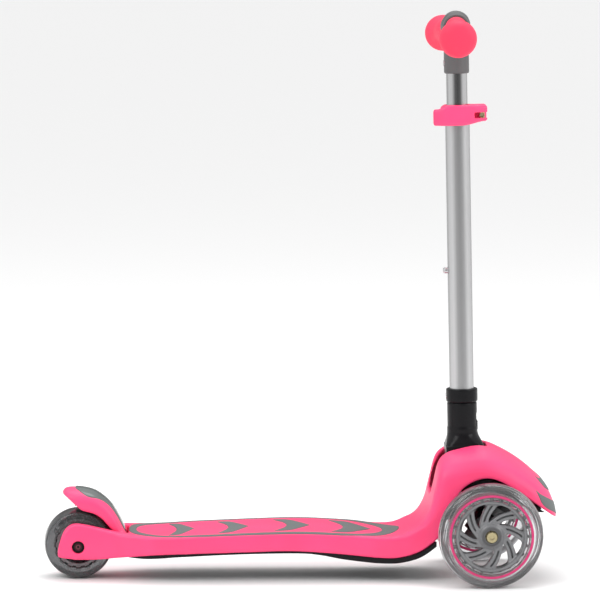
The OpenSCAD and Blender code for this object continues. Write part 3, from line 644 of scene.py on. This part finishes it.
def brake():
    """The fender that presses on the rear wheel, with its grey overlay."""
    X, Y, Z = axes((-24, -29, 42), (60, 29, 108), 0.6)
    side_y = np.abs(Y)
    reach = side_y / 27
    sunk = 15 * (1 - np.sqrt(np.maximum(1 - reach ** 2.4, 0)))
    shape = np.vstack([curve(BRAKE_TOP, 5), curve(BRAKE_FOOT, 5)[:-1]])
    upper = side_field(np.vstack([curve(BRAKE_TOP, 5), [(53.5, 30), (-19, 30)]]), X, Y, Z, sunk)
    side = both(upper, side_field(shape, X, Y, Z, 0.0))
    plan = outline(both_halves(curve(BRAKE_PLAN, 5)), X, Y)
    solid = both(side, plan, 3.5)
    body = join(solid, both(disc(5.5, X, Z, *BRAKE_PIN), side_y - BRAKE_HALF, 1.0), 2.5)
    body = cut(body, both(disc(REAR_R + 6.8, X, Z, 0, REAR_R), side_y - 23.6, 2.0), 1.2)
    body = cut(body, disc(2.6, X, Z, *BRAKE_PIN))
    body = cut(body, both(disc(7.5, X, Z, *BRAKE_PIN), side_y - 9, 1.0), 0.8)
    piece = shell_mesh("fender", body, X, Y, Z, ROW, "brake", PINK, 0.6)
    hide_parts("brake_fender")
    marks = outline(both_halves(curve(BRAKE_MARK, 5)), X, Y)
    layer = both(pad(solid, marks, PAD_UP + 0.1), -(upper + 2.5))
    piece = shell_mesh("fender_pad", layer, X, Y, Z, ROW, "brake", GLOSS_GREY, 0.6)
    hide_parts("brake_overlay")


# ---------------------------------------------------------------- stem
TUBE_R = 14.0
TUBE_START = 190                               # where the lower tube stands in the neck
NECK_R = 17.25
NECK_HALF = 21.3                               # half the width of the neck's knuckle
FOLD_PIN = (-2, 126)
LATCH_X = 12.5
NECK_SCREW_Z = 209


def neck():
    """The black folding neck: a round sleeve, a square skirt and the knuckle on the folding pin."""
    X, Y, Z = axes((-26, -24, 104), (28, 24, 221), 0.8)
    R = np.hypot(X, Y)
    body = both(R - NECK_R, between(158, 201, Z), 0.8)
    body = join(body, both(R - 15.6, between(TUBE_START, 206, Z)), 0.6)
    body = join(body, both(R - 18.2, between(202, 217.5, Z), 1.6))
    flare = smooth_step((168 - Z) / 20)
    half_x, half_y = NECK_R + 5.3 * flare, NECK_R + (NECK_HALF - NECK_R) * flare
    corner = NECK_R - 11.0 * flare
    skirt = both(rounded_box(half_x, half_y, corner, X - 2 * flare, Y), between(146, 172, Z), 1.5)
    body = join(body, skirt, 2.0)
    leg = both(both(between(-20.5, 14.5, X), between(126, 152, Z)), np.abs(Y) - NECK_HALF, 1.5)
    knuckle = both(disc(20, X, Z, *FOLD_PIN), np.abs(Y) - NECK_HALF, 1.5)
    body = join(body, join(leg, knuckle), 1.0)
    body = cut(body, both(R - TUBE_R, TUBE_START - Z))
    body = cut(body, disc(5.1, X, Z, *FOLD_PIN), 1.0)
    body = cut(body, both(disc(2.9, X, Y, LATCH_X, 0), Z - 181))
    body = cut(body, both(disc(4.0, X, Y, LATCH_X, 0), between(140, 160, Z)))
    window = both(both(between(11, 30, X), between(167, 188, Z), 1.0), np.abs(Y) - 5.1, 1.0)
    body = cut(body, window, 0.8)
    body = cut(body, both(disc(3.5, Y, Z, 0, NECK_SCREW_Z), X + 17.3))
    piece = shell_mesh("neck_shell", body, X, Y, Z, STEM, "stem", BLACK, 0.5)
    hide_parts("neck")


CLAMP_Z = (521, 544.5)
CLAMP_BOLT_X = 27


def clamp_level(X, Z):
    """The clamp's height band: its foot rises towards the bolt and its top falls behind."""
    foot = CLAMP_Z[0] + 4.5 * smooth_step((X - 4) / 26)
    top = CLAMP_Z[1] - 3.5 * smooth_step((-12 - X) / 12)
    return np.maximum(foot - Z, Z - top)


LEVER_OUT = [(33, -13.2), (32, -19.5), (20, -23), (0, -25.6), (-16, -24.6), (-29, -20.5)]
LEVER_IN = [(-28.6, -16.8), (-16, -19.4), (-6, -20.4), (6, -20.3), (16, -15.6), (20.8, -10.5),
            (27, -8.9)]
LEVER_PIN = (CLAMP_BOLT_X, -15.5)


def clamp():
    """The pink quick-release clamp: a split collar with lugs, and its lever."""
    X, Y, Z = axes((-22, -22, 519), (36, 22, 547), 0.6)
    level = clamp_level(X, Z)
    middle_z = sum(CLAMP_Z) / 2
    lugs = rounded_box(10.5, 8.5, 3.0, X - 22.5, Y)
    body = both(join(disc(19.3, X, Y), lugs, 5.0), level, 2.6)
    body = cut(body, both(np.abs(Y) - 1.5, 10 - X), 0.8)
    body = cut(body, disc(TUBE_R, X, Y), 0.8)
    body = cut(body, disc(2.6, X, Z, CLAMP_BOLT_X, middle_z), 0.8)
    piece = shell_mesh("clamp_shell", body, X, Y, Z, STEM, "stem", PINK, 0.6)
    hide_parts("clamp_collar")
    X, Y, Z = axes((-32, -29, 519), (36, -6, 547), 0.6)
    shape = outline(np.vstack([curve(LEVER_OUT, 5), curve(LEVER_IN, 5)]), X, Y)
    body = both(shape, clamp_level(X, Z), 4.5)
    body = cut(body, disc(3.25, X, Y, *LEVER_PIN), 0.4)
    notch = both(between(18, 38, X), np.abs(Z - middle_z) - 3.2, 0.6)
    body = cut(body, notch, 0.6)
    piece = shell_mesh("lever_shell", body, X, Y, Z, STEM, "lever", PINK, 0.6)
    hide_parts("clamp_lever")


TEE_Z = 635.5
TEE_SCREW_Z = 592
INNER_TUBE_R = 12.0
GRIP_START = 24
GRIP_LEN = 109
GRIP_RIBS = 8


def grip_direction(side):
    """Unit vector along a handlebar arm, in the stem's axes."""
    tilt = Matrix.Rotation(math.radians(-side * 6), 3, "X")
    swing = Matrix.Rotation(math.radians(side * 3.2), 3, "Z")
    return swing @ tilt @ Vector((0, side, 0))


def tee():
    """The grey tee on top of the upper tube, with a socket for each arm of the bar."""
    X, Y, Z = axes((-18, -40, 578), (18, 40, 654), 0.8)
    body = both(disc(14.4, X, Y), between(580, TEE_Z, Z), 2.2)
    for side in (-1, 1):
        way = grip_direction(side)
        along = X * way.x + Y * way.y + (Z - TEE_Z) * way.z
        off = np.sqrt(np.maximum(X ** 2 + Y ** 2 + (Z - TEE_Z) ** 2 - along ** 2, 0))
        body = join(body, both(off - 15, between(-6, GRIP_START - 0.2, along), 1.2), 4.0)
        body = cut(body, both(off - 9, 16 - along))
    body = cut(body, both(disc(INNER_TUBE_R, X, Y), Z - 604))
    body = cut(body, both(disc(3.5, Y, Z, 0, TEE_SCREW_Z), X + 13.7))
    piece = shell_mesh("tee_shell", body, X, Y, Z, STEM, "handlebar", TEE_GREY, 0.5)
    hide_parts("tee")


def grips():
    """The two pink grips: ribs near the tee, then a palm that swells to a ball."""
    palm = [(13.4, 48), (13.8, 62), (14.4, 72), (17, 81), (20.4, 90), (20.8, 98), (17, 105.5),
            (9, 108.6), (0, GRIP_LEN)]
    lip = [(9, 0.2), (11.6, 0.2), (12.4, 1.0), (12.6, 8)]
    ribs = []
    for k in range(GRIP_RIBS):
        z = 11 + 4 * k
        ribs += [(12.8, z), (12.8, z + 2.6), (12.2, z + 3.0), (12.2, z + 3.6)]
    profile = lip + ribs + [tuple(p) for p in curve(palm, 7)]
    profile += [(0, GRIP_LEN - 12), (9, GRIP_LEN - 12)]
    for side, name in ((1, "left"), (-1, "right")):
        way = grip_direction(side)
        turn = Vector((0, 0, 1)).rotation_difference(way).to_matrix().to_4x4()
        base = Matrix.Translation((Vector((0, 0, TEE_Z)) + way * GRIP_START) * MM)
        piece = lathe("soft_grip_" + name, profile, STEM @ base @ turn, "handlebar",
                      GRIP_PINK)
        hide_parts("grip_" + name)


# ---------------------------------------------------------------- wheels
def tyre_profile(r, half, core, groove=()):
    """Turned section of a tyre: flat faces, round shoulders and a crowned tread."""
    inner = max(groove) + 0.3 if groove else core + 1.5
    outer = curve([(inner, half), (r - 7, half - 0.6), (r - 2.0, half - 4.2), (r, 0),
                   (r - 2.0, -half + 4.2), (r - 7, -half + 0.6), (inner, -half)], 7)
    face = [(core, half - 1.8), (core + 1.5, half)]
    if groove:
        face += [(groove[0], half), (groove[0], half - 3.1), (groove[1], half - 3.1), (groove[1], half)]
    back = [(x, -y) for x, y in face[::-1]]
    return face + [tuple(p) for p in outer] + back


RIBS = 8
RING_GROOVE = (45.1, 48.1)
HUB_BORE = 6.0
BEARING_R = 11.0


def repeated(count, X, Z, R):
    """Distance round the wheel to the nearest of count evenly spaced lines."""
    step = 2 * math.pi / count
    turn = np.arctan2(Z, X) / step
    return np.abs(turn - np.round(turn)) * step * R


def spoked_core():
    """Field of a front wheel's core: swirled double ribs between the hub and the rim."""
    X, Y, Z = axes((-46, -13, -46), (46, 13, 46), 0.62)
    R = np.hypot(X, Z)
    side_y = np.abs(Y)
    pitch = 2 * math.pi / RIBS
    swirl = np.arctan2(Z, X) + 0.75 * np.log(np.maximum(R, 6) / 12)
    offset = (swirl / pitch - np.round(swirl / pitch)) * pitch * R * 0.72
    rib = np.abs(offset) - np.interp(R, [12, 20, 38], [5.0, 3.8, 4.4])
    rib = both(both(rib, side_y - 6.0, 1.6), between(10, 40, R))
    slit = both(both(np.abs(offset) - 0.8, between(18.5, 35.5, R), 0.8), 2.0 - side_y)
    rib = cut(rib, slit, 0.6)
    hub = both(R - 13.2, side_y - 8.5, 1.5)
    body = join(rib, hub, 4.0)
    body = join(body, both(R - 11.6, side_y - 11.5, 0.9), 1.2)
    rim = both(both(R - 41, 37.4 - R), side_y - 9.5, 1.2)
    body = join(body, rim, 4.0)
    lug = both(both(repeated(24, X, Z, R) - 2.4, between(39, 44, R), 0.5), side_y - 6.5, 0.8)
    body = join(body, lug)
    body = cut(body, R - HUB_BORE, 0.6)
    return cut(body, both(R - BEARING_R, 4.5 - side_y)), X, Y, Z


def front_wheels():
    """Two swirled cores in clear tyres, each with its outer face away from the deck."""
    field, X, Y, Z = spoked_core()
    for name, side in (("left", 1), ("right", -1)):
        body = "wheel_front_" + name
        place = Matrix.Translation(Vector((FRONT.x, side * TRACK, FRONT.z)) * MM)
        place = place @ Matrix.Rotation(math.pi if side > 0 else 0, 4, "Z")
        piece = shell_mesh("spokes_" + name, field, X, Y, Z, place, body, CORE_GREY, 0.6)
        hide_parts("core_front_" + name)
        place = axis_place(FRONT.x, side * TRACK, FRONT.z, (0, 1, 0))
        piece = lathe("clear_tyre_" + name, tyre_profile(FRONT_R, 12, 41, RING_GROOVE), place, body,
                      CLEAR)
        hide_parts("tyre_front_" + name)


def rear_core():
    """Field of the rear wheel's core: hub, web and rim, with a ring of teeth on each face."""
    X, Y, Z = axes((-30, -24, -30), (30, 24, 30), 0.62)
    R = np.hypot(X, Z)
    side_y = np.abs(Y)
    body = join(both(R - 14.5, side_y - 22, 0.9), both(R - 23, side_y - 3), 3.0)
    body = join(body, both(both(R - 25, 21.5 - R), side_y - 21, 0.8), 3.0)
    teeth = both(repeated(16, X, Z, R) - 3.0, between(24, 28.4, R), 0.5)
    teeth = both(teeth, between(14, 21.5, side_y), 0.6)
    body = join(body, teeth)
    body = cut(body, R - HUB_BORE, 0.6)
    return cut(body, both(R - BEARING_R, 15.0 - side_y)), X, Y, Z


def rear_wheel():
    """A dark core in a smoky tyre."""
    field, X, Y, Z = rear_core()
    piece = shell_mesh("rear_core", field, X, Y, Z, Matrix.Translation(REAR * MM), "wheel_rear",
                       CORE_GREY, 0.6)
    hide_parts("core_rear")
    piece = lathe("smoke_tyre", tyre_profile(REAR_R, 22.5, 25), axis_place(*REAR, (0, 1, 0)),
                  "wheel_rear", SMOKE)
    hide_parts("tyre_rear")


# ---------------------------------------------------------------- stage
FLOOR_HALF = 60.0                              # metres, so that its edge is far away
# Name, place, target, size in metres and power in watts of each lamp
LAMPS = [
    ("key", (-1.6, -1.8, 2.2), (0, 0, 0.25), 1.6, 34),
    ("fill", (2.2, -1.4, 1.6), (0.1, 0, 0.3), 1.4, 24),
    ("top", (0.2, 0.6, 2.8), (0, 0, 0.2), 1.8, 28)]


def pale_floor():
    """A plain matt floor under the wheels."""
    floor_mesh = bpy.data.meshes.new("floor")
    corners = [(a * FLOOR_HALF, b * FLOOR_HALF, 0) for a, b in ((-1, -1), (1, -1), (1, 1), (-1, 1))]
    floor_mesh.from_pydata(corners, [], [(0, 1, 2, 3)])
    floor = bpy.data.objects.new("floor", floor_mesh)
    bpy.context.scene.collection.objects.link(floor)
    material, _, _, shader = new_material("floor")
    shader.inputs["Base Color"].default_value = (0.9, 0.9, 0.9, 1)
    shader.inputs["Roughness"].default_value = 0.9
    floor_mesh.materials.append(material)


def soft_world():
    """A white sky, darker towards the viewer, so that black and grey parts keep their tone."""
    world = bpy.data.worlds.new("studio")
    bpy.context.scene.world = world
    world.use_nodes = True
    nodes, links = world.node_tree.nodes, world.node_tree.links
    coords = nodes.new("ShaderNodeTexCoord").outputs["Generated"]
    split = nodes.new("ShaderNodeSeparateXYZ")
    links.new(coords, split.inputs["Vector"])
    sideways = nodes.new("ShaderNodeMath")
    sideways.operation = "ABSOLUTE"
    links.new(split.outputs["X"], sideways.inputs[0])
    brighter = nodes.new("ShaderNodeMath")
    brighter.operation = "MAXIMUM"
    links.new(sideways.outputs[0], brighter.inputs[0])
    links.new(split.outputs["Z"], brighter.inputs[1])
    links.new(ramp(nodes, links, brighter.outputs[0], 0.16, 1.0, 0.2, 0.8),
              nodes["Background"].inputs["Color"])
    nodes["Background"].inputs["Strength"].default_value = 1.15


def studio():
    """A pale floor, a soft world and three broad lamps."""
    pale_floor()
    soft_world()
    bpy.context.scene.view_settings.view_transform = "Standard"
    for name, place, target, size, power in LAMPS:
        light = bpy.data.lights.new(name, "AREA")
        light.size = size
        light.energy = power
        lamp = bpy.data.objects.new(name, light)
        lamp.location = place
        lamp.rotation_euler = (Vector(target) - Vector(place)).to_track_quat("-Z", "Y").to_euler()
        bpy.context.scene.collection.objects.link(lamp)


def camera():
    """The photograph's own view: right side, a little from behind and above, with a long lens."""
    data = bpy.data.cameras.new("camera")
    data.lens = 223.4
    data.clip_end = 50
    made = bpy.data.objects.new("camera", data)
    made.location = (-0.1423, -4.256, 0.7518)
    look = Vector((0.0331, 0.9943, -0.1009))
    made.rotation_euler = look.to_track_quat("-Z", "Y").to_euler()
    bpy.context.scene.collection.objects.link(made)
    bpy.context.scene.camera = made


deck_shell()
deck_pads()
brake()
neck()
clamp()
tee()
grips()
front_wheels()
rear_wheel()
studio()
camera()
